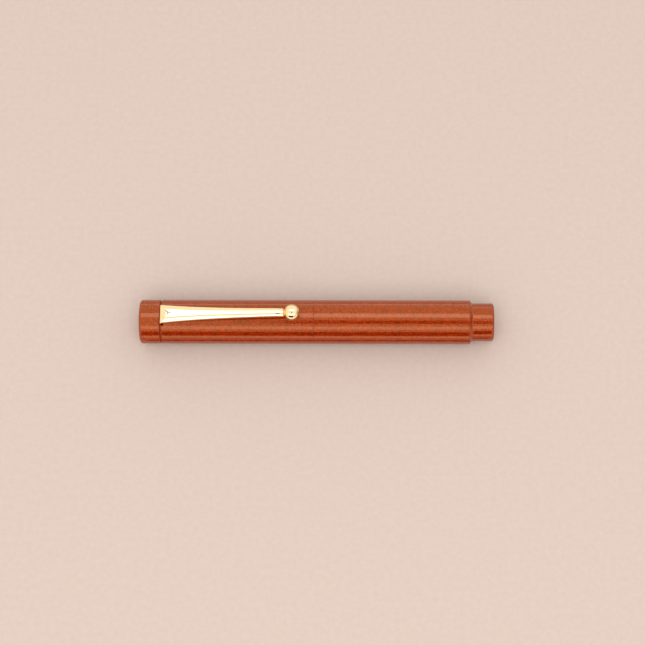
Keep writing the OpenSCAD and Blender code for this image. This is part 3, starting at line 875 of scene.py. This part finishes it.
def darken_collar_and_paint_crease_shade(arm):
    """Darker, rougher gold on the collar between the arm's end and the ball, and painted shade in the
    creases at the hips.
    """
    collar, crease_shade = 1, 2
    arm.data.materials.append(darker_gold("darker_collar_gold", (0.70, 0.38, 0.07), (0.86, 0.54, 0.15)))
    # The creases' faces get a darker gold: painted shade where the hips meet.
    arm.data.materials.append(darker_gold("painted_crease_shade_gold", (0.52, 0.40, 0.20), (0.64, 0.50, 0.27)))
    for polygon in arm.data.polygons:
        u = (polygon.center.x - PEN_START) / MM
        if u > NECK_START:
            polygon.material_index = collar
        elif polygon.normal.z > 0 and crease(u, polygon.center.y / MM) > CREASE_DEPTH / 4:
            polygon.material_index = crease_shade


darken_collar_and_paint_crease_shade(made["clip_arm"])

# The cap's screw and the refill's plug keep their CAD shape.
for node, obj in frame["nodes"].items():
    if node not in made:
        paint(obj, MATERIALS[SLOT_OF[node]])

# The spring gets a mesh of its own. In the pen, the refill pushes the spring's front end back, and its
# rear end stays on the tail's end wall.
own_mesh(made["refill_spring"])


# ---------------------------------------------------------------- stage, in metres

STAGE_MIDDLE = place(56, 0, 0)
SOFTBOX_WHITE = (0.78, 1.0, 1.75)
NEUTRAL_WHITE = (1.0, 1.0, 1.0)
STRIP_WHITE = (0.85, 1.0, 1.15)


def hang(obj, polar, distance, along=0.0):
    """Puts a light or card where the pen sees it at polar degrees from straight up, positive toward
    +Y, and turns it to face the pen."""
    t = math.radians(polar)
    obj.location = STAGE_MIDDLE + Vector((along, math.sin(t) * distance, math.cos(t) * distance))
    obj.rotation_euler = (-t, 0, 0)


def lay(obj, y, z, face_up=False):
    """Lays a light or card flat at a height z over the floor."""
    obj.location = (STAGE_MIDDLE.x, y, z)
    obj.rotation_euler = (math.pi if face_up else 0, 0, 0)


def floor():
    """Matt pale floor. It has no gloss at all, because the cards would show in it."""
    size = 4.0
    bm = bmesh.new()
    bmesh.ops.create_grid(bm, x_segments=8, y_segments=8, size=size / 2)
    obj = new_object("floor", bm, smooth=False)
    finish = Finish("pale_floor", Specular_IOR_Level=0.0)
    grain = finish.noise(0.6, detail=4, roughness=0.6)
    finish.colour(grain, (0.52, 0.421, 0.368), (0.55, 0.449, 0.392))
    finish.rough(grain, 0.7, 0.8)
    obj.data.materials.append(finish.material)


def softbox(name, length, height, radiance, colour=SOFTBOX_WHITE, reflected=True):
    """Soft rectangular light. It either shows in glossy surfaces or lights the floor and the pen, so
    that each can be set alone."""
    data = bpy.data.lights.new(name, "AREA")
    data.shape = "RECTANGLE"
    data.size, data.size_y = length, height
    data.energy = radiance * math.pi * length * height
    data.color = colour
    obj = bpy.data.objects.new(name, data)
    bpy.context.scene.collection.objects.link(obj)
    obj.visible_camera = False
    obj.visible_diffuse = not reflected
    obj.visible_glossy = reflected
    return obj


def card(name, length, height):
    """Black card that only reflections see."""
    bm = bmesh.new()
    x, y = length / 2, height / 2
    bm.faces.new([bm.verts.new(Vector(p)) for p in ((-x, -y, 0), (x, -y, 0), (x, y, 0), (-x, y, 0))])
    obj = new_object(name, bm, smooth=False)
    obj.visible_camera = False
    obj.visible_shadow = False
    obj.visible_diffuse = False
    black = (0.004, 0.004, 0.004, 1)
    finish = Finish("black_card", Roughness=0.9, Base_Color=black, Specular_IOR_Level=0.0)
    obj.data.materials.append(finish.material)
    return obj


floor()
hang(softbox("overhead_softbox", 1.0, 0.33, radiance=1.1), polar=17.5, distance=0.9, along=0.13)
hang(softbox("overhead_edge", 2.0, 0.33, radiance=0.35), polar=17.5, distance=0.905)
hang(softbox("front_softbox", 2.0, 0.26, radiance=1.0), polar=-48.5, distance=0.9)
hang(softbox("rear_strip", 2.0, 0.05, radiance=1.45, colour=NEUTRAL_WHITE), polar=87.6, distance=0.9)
fill = softbox("fill", 0.9, 0.9, radiance=3.0, colour=NEUTRAL_WHITE, reflected=False)
hang(fill, polar=-25.0, distance=1.2)
floor_strip = softbox("floor_strip", 2.0, 0.052, radiance=0.75, colour=STRIP_WHITE)
lay(floor_strip, y=-0.058, z=0.0008, face_up=True)
hang(card("camera_card", 0.15, 0.24), polar=-17.6, distance=0.74, along=0.0254)
hang(card("low_card", 0.58, 0.22), polar=-80.5, distance=0.6, along=-0.09)
lay(card("floor_card", 0.6, 0.5), y=-0.37948, z=0.001)
# Black card on the floor along the pen's front, seen only in reflections: painted contact shadow on the
# lacquer's lower edge.
lay(card("contact_shadow_card", 0.11, 0.0038), y=-0.016, z=0.0006)
tail_card = card("tail_card", 0.12, 0.5)
tail_card.location = STAGE_MIDDLE + Vector((0.55, 0, 0.02))
tail_card.rotation_euler = (0, math.radians(90), 0)


def studio_world():
    world = bpy.data.worlds.new("studio")
    bpy.context.scene.world = world
    world.use_nodes = True
    background = world.node_tree.nodes["Background"]
    background.inputs["Color"].default_value = (1.0, 0.98, 0.96, 1)
    background.inputs["Strength"].default_value = 1.05


def camera():
    """Long lens above the pen and a little in front of it, rolled by a fraction of a degree."""
    data = bpy.data.cameras.new("camera")
    data.lens, data.sensor_width = 126.62, 36.0
    data.clip_start, data.clip_end = 0.01, 10
    obj = bpy.data.objects.new("camera", data)
    bpy.context.scene.collection.objects.link(obj)
    elevation, distance, roll = math.radians(72.6), 0.721, math.radians(0.12)
    target = Vector((0.00183, -0.00016, AXIS_Z))
    stand_x, stand_y = 0.0254, 0.0002
    obj.location = (
        stand_x, stand_y - distance * math.cos(elevation), AXIS_Z + distance * math.sin(elevation),
    )
    back = (obj.location - target).normalized()
    right = (Vector((1, 0, 0)) - back * back.x).normalized()
    right = Quaternion(back, roll) @ right
    obj.rotation_mode = "QUATERNION"
    obj.rotation_quaternion = Matrix((right, back.cross(right), back)).transposed().to_quaternion()
    bpy.context.scene.camera = obj


studio_world()
bpy.context.scene.view_settings.view_transform = "Standard"
camera()
